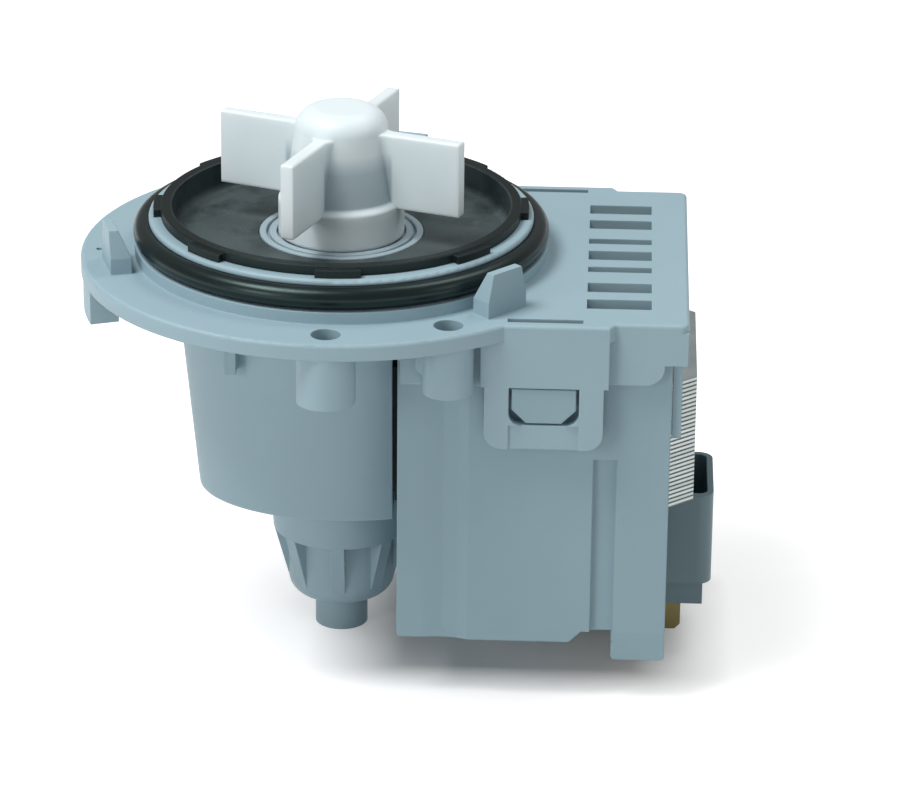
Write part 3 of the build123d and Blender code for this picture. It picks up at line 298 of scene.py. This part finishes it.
def rubber(name, tone, shine):
    """Black rubber with a fine skin and a little bloom."""
    constants = {"IOR": 1.52, "Specular IOR Level": 0.40, "Specular Tint": black_sheen}
    material, nodes, shader = finish(name, constants)
    place = object_place(nodes)
    bloom = noise(nodes, place, bloom_size, 4.0, 0.6)
    skin = noise(nodes, place, rubber_skin, 3.0, 0.6)
    body = two_tones(nodes, (bloom * 0.6).clamped(), plain(tone), shade(tone, 1.6))
    return material, nodes, shader, place, skin, body, shine + 0.16 * bloom + 0.06 * skin


seal_finish, nodes, shader, place, skin, body, gloss = rubber("seal_rubber", seal_tone, 0.20)
seal_low, seal_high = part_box("flange_seal")
off_middle = nodes.maths("ABSOLUTE", along(nodes, place, "Z") - (seal_low[2] + seal_high[2]) / 2)
parting_line = (1 - off_middle / parting_half).clamped()
smooth = nodes.node("ShaderNodeNewGeometry", {}, {}, "Normal")
feed(nodes, shader, {
    "Base Color": body,
    "Roughness": gloss,
    "Normal": relief(nodes, 0.25 * skin + 0.1 * parting_line, parting_relief, smooth),
})
dress(seal_finish, "flange_seal")


# Rubber rings round the bushes, the shaft's lip seal and the damper: harder black rubber, dry,
# each pressed or slipped into its seat.
ring_tone = (0.014, 0.014, 0.015)
ring_edge_r = 0.15 * MM
ring_relief = 0.012 * MM
ring_finish, nodes, shader, place, skin, body, gloss = rubber("ring_rubber", ring_tone, 0.48)
feed(nodes, shader, {
    "Base Color": body,
    "Roughness": gloss,
    "Normal": relief(nodes, skin, ring_relief, soft_edge(nodes, ring_edge_r)),
})
dress(ring_finish, "front_bush_ring", "rear_bush_ring", "shaft_seal", "dog_damper")


# Bushes: two sleeves of fine pressed carbon, ground inside, in which the shaft turns without oil.
# Each is pushed into its rubber ring.
carbon_tone = (0.030, 0.030, 0.032)
carbon_grain_tone = (0.085, 0.085, 0.090)
bush_edge_r = 0.15 * MM
carbon_grain = 0.09 * MM
carbon_relief = 0.006 * MM
bush_finish, nodes, shader = finish("bush_carbon", {"IOR": 1.8, "Specular IOR Level": 0.6})
place = object_place(nodes)
rounded = soft_edge(nodes, bush_edge_r)
grains = noise(nodes, place, carbon_grain, 3.0, 0.7)
feed(nodes, shader, {
    "Base Color": two_tones(nodes, grains, plain(carbon_tone), plain(carbon_grain_tone)),
    "Roughness": 0.40 + 0.18 * grains,
    "Normal": relief(nodes, grains, carbon_relief, rounded),
})
dress(bush_finish, "front_bush", "rear_bush")


# Shaft and clip: stainless steel.  The shaft is ground, which left very fine marks round it, and
# the clip is punched from strip and keeps the dog on the shaft.
ground_tones = ((0.50, 0.51, 0.52), (0.66, 0.67, 0.68))
stain_tone = (0.44, 0.43, 0.41)
shaft_edge_r = 0.1 * MM
grinding_size = 0.05 * MM
stain_size = 6 * MM
grinding_relief = 0.003 * MM
shaft_finish, nodes, shader = finish("ground_steel", {"Metallic": 1.0})
place = object_place(nodes)
rounded = soft_edge(nodes, shaft_edge_r)
rings = noise(nodes, stretched(nodes, place, (0.1, 0.1, 1.0)), grinding_size, 3.0, 0.6)
stains = noise(nodes, place, stain_size, 3.0)
steel = two_tones(nodes, rings, plain(ground_tones[0]), plain(ground_tones[1]))
feed(nodes, shader, {
    "Base Color": two_tones(nodes, stains * 0.3, steel, plain(stain_tone)),
    "Roughness": 0.20 + 0.12 * rings + 0.08 * stains,
    "Normal": relief(nodes, rings, grinding_relief, rounded),
})
dress(shaft_finish, "rotor_shaft", "dog_clip")


# Rotor magnet: a sintered ferrite tube, ground outside, dark grey with tiny pits and chipped
# edges.  Its plastic sleeve and two end rings hold it on the shaft.
ferrite_tones = ((0.045, 0.045, 0.048), (0.075, 0.075, 0.080))
chip_tone = (0.022, 0.022, 0.024)
magnet_edge_r = 0.25 * MM
pit_size = 0.25 * MM
turning_size = 0.3 * MM
ferrite_relief = 0.015 * MM
magnet_finish, nodes, shader = finish("ferrite", {"IOR": 2.2, "Specular IOR Level": 0.5})
place = object_place(nodes)
rounded = soft_edge(nodes, magnet_edge_r)
chipped = edge_mask(nodes, rounded)
pits = ((noise(nodes, place, pit_size, 3.0, 0.6) - 0.56) * 8.0).clamped()
turning = noise(nodes, stretched(nodes, place, (0.06, 0.06, 1.0)), turning_size, 3.0)
ferrite = two_tones(nodes, turning, plain(ferrite_tones[0]), plain(ferrite_tones[1]))
ferrite = two_tones(nodes, (pits + chipped * 0.6).clamped(), ferrite, plain(chip_tone))
feed(nodes, shader, {
    "Base Color": ferrite,
    "Roughness": 0.38 + 0.12 * turning + 0.2 * pits,
    "Normal": relief(nodes, turning - pits, ferrite_relief, rounded),
})
dress(magnet_finish, "rotor_magnet")


# Sleeve and end rings: off-white plastic, the sleeve moulded round the shaft and the rings against
# the magnet's two ends.
sleeve_tone = (0.62, 0.61, 0.56)
sleeve_edge_r = 0.2 * MM
sleeve_finish = moulded("sleeve_plastic", sleeve_tone, sleeve_edge_r, roughness=0.42)
dress(sleeve_finish, "rotor_sleeve", "end_ring_front", "end_ring_rear")


# Thrust washers: punched from brown laminated bearing sheet and slipped on the shaft, one between
# the rotor and each bush.
washer_tone = (0.17, 0.11, 0.06)
washer_edge_r = 0.1 * MM
washer_grain = 0.3 * MM
washer_finish = moulded("washer_sheet", washer_tone, washer_edge_r, 0.5, washer_grain)
dress(washer_finish, "thrust_washer_front", "thrust_washer_rear")


# Driving dog: a dark hard-wearing moulding pressed on the shaft.  It pushes the lug inside the
# hub, and its flanks are polished by use.
dog_tone = (0.040, 0.042, 0.046)
dog_edge_r = 0.2 * MM
dog_finish = moulded("dog_plastic", dog_tone, dog_edge_r, roughness=0.36)
dress(dog_finish, "drive_dog")


# Impeller and its cap: milky natural polypropylene, moulded in one with its four blades.  Light
# soaks a few millimetres into it.  The hub below the dome is painted a darker blue-grey, a painted
# shade for the dark coupling inside.  Its tips and dome carry a fine scuffing.
milky_tone = (0.755, 0.845, 0.868)
painted_edge_light_tone = (0.90, 0.95, 0.96)
hub_painted_shade_tone = (0.42, 0.54, 0.585)
hub_r = 10.3 * MM
hub_fade = 0.5 * MM
coupling_top = 19.4 * MM
coupling_fade = 3.0 * MM
soak_depth = 2.2 * MM
blade_edge_r = 0.45 * MM
cloud_size = 7 * MM
scuff_size = 0.5 * MM
skin_size = 0.3 * MM
scuff_relief = 0.012 * MM
impeller_finish, nodes, shader = finish("milky_plastic", {
    "IOR": 1.49,
    "Specular IOR Level": 0.5,
    "Subsurface Weight": 0.55,
    "Subsurface Radius": (1.0, 1.0, 0.95),
    "Subsurface Scale": soak_depth,
})
place = object_place(nodes)
rounded = soft_edge(nodes, blade_edge_r)
edges = edge_mask(nodes, rounded)
clouds = noise(nodes, place, cloud_size, 4.0, 0.55)
scuffs = noise(nodes, stretched(nodes, place, (1.0, 1.0, 0.12)), scuff_size, 4.0, 0.65)
fine_skin = noise(nodes, place, skin_size, 2.0)
in_hub = ((hub_r - from_axis(nodes, place)) / hub_fade).clamped()
hub_shade_below_top = ((coupling_top - along(nodes, place, "Z")) / coupling_fade).clamped()
milky = two_tones(nodes, clouds, shade(milky_tone, 0.965), shade(milky_tone, 1.02))
milky = two_tones(nodes, ((scuffs - 0.55) * 2.0).clamped() * 0.25, milky, shade(milky_tone, 0.90))
# Painted light: the thin edges painted lighter, a painted glow of light passing through them.
milky = two_tones(nodes, edges * 0.25, milky, plain(painted_edge_light_tone))
# Painted shade: the hub below the dome darkened towards blue-grey.
milky = two_tones(nodes, in_hub * hub_shade_below_top * 0.85, milky, plain(hub_painted_shade_tone))
feed(nodes, shader, {
    "Base Color": milky,
    "Roughness": 0.33 + 0.14 * scuffs + 0.05 * clouds,
    "Normal": relief(nodes, 0.4 * scuffs + 0.3 * fine_skin, scuff_relief, rounded),
})
dress(impeller_finish, "impeller", "hub_cap")


# Stator core: a stack of punched silicon-steel sheets, riveted together.  Every cut edge has its
# bright sheared band and its dull torn one.  A thin grey coating covers the sheets' faces, and
# the part inside the box is painted near-black, a painted shade for the deep gap there.
core_low, core_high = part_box("stator_core")
sheet_count = 30
sheet_t = (core_high[2] - core_low[2]) / sheet_count
cut_tones = ((0.46, 0.52, 0.505), (0.60, 0.67, 0.65))
sheared_tone = (0.62, 0.66, 0.65)
torn_tone = (0.11, 0.13, 0.13)
coating_tone = (0.50, 0.56, 0.55)
oxide_tone = (0.30, 0.33, 0.32)
painted_shade_tone = (0.045, 0.048, 0.048)
painted_shade_end = 49.0 * MM
painted_shade_fade = 1.0 * MM
streak_size = 0.5 * MM
oxide_size = 8 * MM
sheet_edge_r = 0.08 * MM
torn_relief = 0.02 * MM
core_finish, nodes, shader = finish("sheet_stack", {"IOR": 1.5})
place = object_place(nodes)
level = (along(nodes, place, "Z") - core_low[2]) / sheet_t
across = nodes.maths("FRACT", level)
which = nodes.maths("FLOOR", level)
facing = nodes.node("ShaderNodeTexCoord", {}, {}, "Normal")
upright = along(nodes, facing, "Z")
cut_face = (1 - nodes.maths("ABSOLUTE", upright) * 2.0).clamped()
own_shade = nodes.node("ShaderNodeTexWhiteNoise", {"noise_dimensions": "1D"}, {"W": which})
torn = ((nodes.maths("ABSOLUTE", across - 0.5) - 0.22) * 9.0).clamped() * cut_face
streaks = noise(nodes, stretched(nodes, place, (1.0, 1.0, 0.12)), streak_size, 4.0, 0.6)
oxide = noise(nodes, place, oxide_size, 4.0, 0.6)
# Painted shade: the part of the core inside the box is painted near-black and made non-metallic.
painted_shade_inside = ((painted_shade_end - along(nodes, place, "X")) / painted_shade_fade).clamped()
sheets = two_tones(nodes, own_shade, plain(cut_tones[0]), plain(cut_tones[1]))
sheets = two_tones(nodes, streaks * 0.3 * cut_face, sheets, plain(sheared_tone))
sheets = two_tones(nodes, torn * 0.7, sheets, plain(torn_tone))
sheets = two_tones(nodes, cut_face, plain(coating_tone), sheets)
sheets = two_tones(nodes, (oxide * 0.35).clamped(), sheets, plain(oxide_tone))
cut_relief = streaks * cut_face - 0.5 * torn
feed(nodes, shader, {
    "Base Color": two_tones(nodes, painted_shade_inside, sheets, plain(painted_shade_tone)),
    "Metallic": (0.1 + 0.75 * cut_face) * (1 - painted_shade_inside),
    "Roughness": 0.38 + 0.16 * torn + 0.10 * oxide,
    "Normal": relief(nodes, cut_relief, torn_relief, soft_edge(nodes, sheet_edge_r)),
})
dress(core_finish, "stator_core")


# Core rivets: plain steel rivets, headed cold, whose ends keep the marks of the heading tool.
# They clamp the stack through the yoke.
rivet_tones = ((0.42, 0.42, 0.41), (0.62, 0.62, 0.61))
rivet_edge_r = 0.3 * MM
hammer_size = 0.9 * MM
hammer_relief = 0.05 * MM
rivet_finish, nodes, shader = finish("rivet_steel", {"Metallic": 1.0})
place = object_place(nodes)
hammered = noise(nodes, place, hammer_size, 4.0, 0.6)
feed(nodes, shader, {
    "Base Color": two_tones(nodes, hammered, plain(rivet_tones[0]), plain(rivet_tones[1])),
    "Roughness": 0.30 + 0.20 * hammered,
    "Normal": relief(nodes, hammered, hammer_relief, soft_edge(nodes, rivet_edge_r)),
})
dress(rivet_finish, "core_rivets")


# Bobbins: natural glass-filled nylon, moulded with thin end flanges.  One is pushed on each leg
# of the core and carries a winding.
bobbin_tone = (0.56, 0.53, 0.45)
bobbin_edge_r = 0.25 * MM
bobbin_finish = moulded("bobbin_nylon", bobbin_tone, bobbin_edge_r, roughness=0.45)
dress(bobbin_finish, "bobbin_front", "bobbin_rear")


# Windings and their leads: enamelled copper wire of 0.3 mm, wound in even layers across the leg.
# The clear enamel shines over the copper, and the leads are the same wire.
wire_pitch = 0.33 * MM
wire_relief = 0.12 * MM
crevice_shade_tone = (0.16, 0.055, 0.022)
copper_tone = (0.66, 0.29, 0.12)
dull_copper_tone = (0.40, 0.15, 0.06)
winding_edge_r = 0.2 * MM
uneven_size = 3 * MM
coated = {"Metallic": 1.0, "Coat Roughness": 0.12}
winding_finish, nodes, shader = finish("enamelled_copper", coated)
place = object_place(nodes)
turns = along(nodes, place, "X") * (pi / wire_pitch)
crown = nodes.maths("ABSOLUTE", nodes.maths("SINE", turns))
uneven = noise(nodes, place, uneven_size, 3.0)
# Painted shade: dark copper in the crevices between the wires' crowns.
copper = two_tones(nodes, crown, plain(crevice_shade_tone), plain(copper_tone))
feed(nodes, shader, {
    "Base Color": two_tones(nodes, uneven * 0.4, copper, plain(dull_copper_tone)),
    "Roughness": 0.26 + 0.14 * uneven,
    "Coat Weight": 0.4 + 0.3 * uneven,
    "Normal": relief(nodes, crown, wire_relief, soft_edge(nodes, winding_edge_r)),
})
dress(winding_finish, "winding_front", "winding_rear", "coil_leads")


# Winding tape: thin yellow polyester film with glue on one side, lapped twice round each winding
# by hand, so that it creases at the corners.
tape_tone = (0.56, 0.41, 0.10)
tape_width = 14.3 * MM
tape_edge_r = 0.3 * MM
crease_size = 1.6 * MM
crease_relief = 0.05 * MM
tape_finish, nodes, shader = finish("polyester_film", {"IOR": 1.6, "Specular IOR Level": 0.55})
place = object_place(nodes)
lap = nodes.maths("FRACT", along(nodes, place, "X") / tape_width)
creases = noise(nodes, stretched(nodes, place, (1.0, 0.25, 0.25)), crease_size, 4.0, 0.55)
tape_colour = two_tones(nodes, creases, shade(tape_tone, 0.85), shade(tape_tone, 1.1))
feed(nodes, shader, {
    "Base Color": two_tones(nodes, (lap * 0.3).clamped(), tape_colour, shade(tape_tone, 0.7)),
    "Roughness": 0.22 + 0.14 * creases,
    "Normal": relief(nodes, creases + 0.5 * lap, crease_relief, soft_edge(nodes, tape_edge_r)),
})
dress(tape_finish, "winding_tape_front", "winding_tape_rear")


# Thermal fuse: a small sealed capsule in a woven glass sleeve, tied on the rear winding.  It opens
# for good when the coil overheats.
weave_pitch = 0.25 * MM
weave_tones = ((0.62, 0.60, 0.55), (0.74, 0.72, 0.67))
soil_tone = (0.50, 0.47, 0.41)
fuse_edge_r = 0.2 * MM
soil_size = 1.2 * MM
weave_relief = 0.03 * MM
fuse_finish, nodes, shader = finish("woven_sleeve", {"IOR": 1.45, "Specular IOR Level": 0.3})
place = object_place(nodes)
sockets = {"Vector": place, "Scale": 1 / weave_pitch}
weave = nodes.node("ShaderNodeTexChecker", {}, sockets, "Fac")
soil = noise(nodes, place, soil_size, 3.0)
glass_cloth = two_tones(nodes, weave, plain(weave_tones[0]), plain(weave_tones[1]))
feed(nodes, shader, {
    "Base Color": two_tones(nodes, soil * 0.5, glass_cloth, plain(soil_tone)),
    "Roughness": 0.62 + 0.1 * weave,
    "Normal": relief(nodes, weave, weave_relief, soft_edge(nodes, fuse_edge_r)),
})
dress(fuse_finish, "thermal_fuse")


# Terminals: two tabs stamped from brass sheet, 0.8 mm thick, pressed into the carrier.  The faces
# have dulled to olive, and the stamped edges stay brighter.
brass_tones = ((0.225, 0.185, 0.080), (0.145, 0.130, 0.060))
bright_brass_tone = (0.50, 0.39, 0.20)
terminal_edge_r = 0.12 * MM
tarnish_size = 2.2 * MM
rolling_size = 0.16 * MM
rolling_relief = 0.006 * MM
terminal_finish, nodes, shader = finish("stamped_brass", {"Metallic": 1.0})
place = object_place(nodes)
rounded = soft_edge(nodes, terminal_edge_r)
bright = edge_mask(nodes, rounded)
tarnish = noise(nodes, place, tarnish_size, 4.0, 0.6)
rolling = noise(nodes, stretched(nodes, place, (1.0, 1.0, 0.06)), rolling_size, 3.0)
brass = two_tones(nodes, tarnish, plain(brass_tones[0]), plain(brass_tones[1]))
brass = two_tones(nodes, bright * 0.7, brass, plain(bright_brass_tone))
feed(nodes, shader, {
    "Base Color": brass,
    "Roughness": 0.30 + 0.22 * tarnish,
    "Normal": relief(nodes, rolling, rolling_relief, rounded),
})
dress(terminal_finish, "terminal_front", "terminal_rear")


# Floor: a plain white sheet under the pump.  It keeps the pump's shadow, and where the camera or
# a reflection meets it a little more white is added, which leaves the light on the pump as it is.
# That added white fades out below the stator box, which paints a deeper shadow there.
floor_half = 4.0
floor_tone = (0.75, 0.75, 0.755)
pure_white = (1.0, 1.0, 1.0)
added_white = 0.55
box_middle_x = 32 * MM
box_half_x = 20 * MM
box_half_y = 18 * MM
fade_x = 18 * MM
fade_y = 10 * MM
floor_mesh = bpy.data.meshes.new("floor")
signs = ((-1, -1), (1, -1), (1, 1), (-1, 1))
corners = [(floor_half * x, floor_half * y, cad_low[2]) for x, y in signs]
floor_mesh.from_pydata(corners, [], [(0, 1, 2, 3)])
floor = bpy.data.objects.new("floor", floor_mesh)
bpy.context.scene.collection.objects.link(floor)
floor_finish, nodes, shader = finish("floor_white", {
    "Roughness": 0.55,
    "Specular IOR Level": 0.2,
    "Base Color": plain(floor_tone),
})
rays = nodes.node("ShaderNodeLightPath", {}, {}, "Is Camera Ray")
glossy = nodes.node("ShaderNodeLightPath", {}, {}, "Is Glossy Ray")
passing = nodes.node("ShaderNodeLightPath", {}, {}, "Is Transmission Ray")
seen = (rays + glossy + passing).clamped()
place = object_place(nodes)
off_x = nodes.maths("ABSOLUTE", along(nodes, place, "X") - box_middle_x)
off_y = nodes.maths("ABSOLUTE", along(nodes, place, "Y"))
past_x = ((off_x - box_half_x) / fade_x).clamped()
past_y = ((off_y - box_half_y) / fade_y).clamped()
# Painted shadow: the added white fades out below the box.
outside_painted_shadow = ((past_x ** 2 + past_y ** 2) ** 0.5).clamped()
sockets = {"Color": plain(pure_white), "Strength": added_white}
glow = nodes.node("ShaderNodeEmission", {}, sockets)
sheet = Flow(nodes.tree, shader.outputs[0])
brighter = nodes.node("ShaderNodeAddShader", {}, {0: sheet, 1: glow})
mixed = nodes.node("ShaderNodeMixShader", {}, {0: seen * outside_painted_shadow, 1: sheet, 2: brighter})
nodes.tree.links.new(mixed.socket, nodes.tree.nodes["Material Output"].inputs["Surface"])
floor_mesh.materials.append(floor_finish)


# Light: a soft panel above on the left, a weaker one in front on the left, two faint ones from the
# right and from behind, and an even white surround, which the camera sees as plain white.
key_place, key_side, key_watts = (-0.42, -0.22, 0.95), 0.45, 8.6
front_place, front_side, front_watts = (-0.72, -0.82, 0.30), 0.35, 2.3
right_place, right_side, right_watts = (1.00, -0.35, 0.45), 0.50, 1.1
rear_place, rear_side, rear_watts = (0.42, 0.30, 0.95), 0.45, 2.6
surround_level = 0.27


def panel(name, where, side, watts):
    """Square soft lamp that faces the pump."""
    lamp = bpy.data.lights.new(name, "AREA")
    lamp.shape = "SQUARE"
    lamp.size = side
    lamp.energy = watts
    holder = bpy.data.objects.new(name, lamp)
    holder.location = where
    holder.rotation_euler = (-Vector(where)).to_track_quat("-Z", "Y").to_euler()
    bpy.context.scene.collection.objects.link(holder)


panel("key_panel", key_place, key_side, key_watts)
panel("front_panel", front_place, front_side, front_watts)
panel("right_panel", right_place, right_side, right_watts)
panel("rear_panel", rear_place, rear_side, rear_watts)

world = bpy.data.worlds.new("surround")
world.use_nodes = True
bpy.context.scene.world = world
surround = Flow(world.node_tree)
seen = surround.node("ShaderNodeLightPath", {}, {}, "Is Camera Ray")
sockets = {"Color": plain(pure_white), "Strength": surround_level}
dim = surround.node("ShaderNodeBackground", {}, sockets)
white = surround.node("ShaderNodeBackground", {}, {"Color": plain(pure_white), "Strength": 1.0})
mixed = surround.node("ShaderNodeMixShader", {}, {0: seen, 1: dim, 2: white})
world.node_tree.links.new(mixed.socket, world.node_tree.nodes["World Output"].inputs["Surface"])


# Camera: a long lens a little to the right of the pump's front and well above the flange, looking
# down on it by about 23 degrees.
camera_place = (45.95 * MM, -702.95 * MM, 267.51 * MM)
camera_turn = radians(2.187)
camera_tilt = radians(22.841)
camera_roll = radians(0.566)
sensor_width = 36.0
focal_length = 173.58
lens = bpy.data.cameras.new("camera")
lens.sensor_fit = "HORIZONTAL"
lens.sensor_width = sensor_width
lens.lens = focal_length
level_back = Vector((sin(camera_turn), -cos(camera_turn), 0))
backwards = cos(camera_tilt) * level_back + Vector((0, 0, sin(camera_tilt)))
sideways = Vector((cos(camera_turn), sin(camera_turn), 0))
upwards = backwards.cross(sideways)
rolled_side = cos(camera_roll) * sideways + sin(camera_roll) * upwards
rolled_up = cos(camera_roll) * upwards - sin(camera_roll) * sideways
camera = bpy.data.objects.new("camera", lens)
directions = Matrix((rolled_side, rolled_up, backwards)).transposed().to_4x4()
camera.matrix_world = Matrix.Translation(camera_place) @ directions
bpy.context.scene.collection.objects.link(camera)
bpy.context.scene.camera = camera
bpy.context.scene.view_settings.view_transform = "Standard"
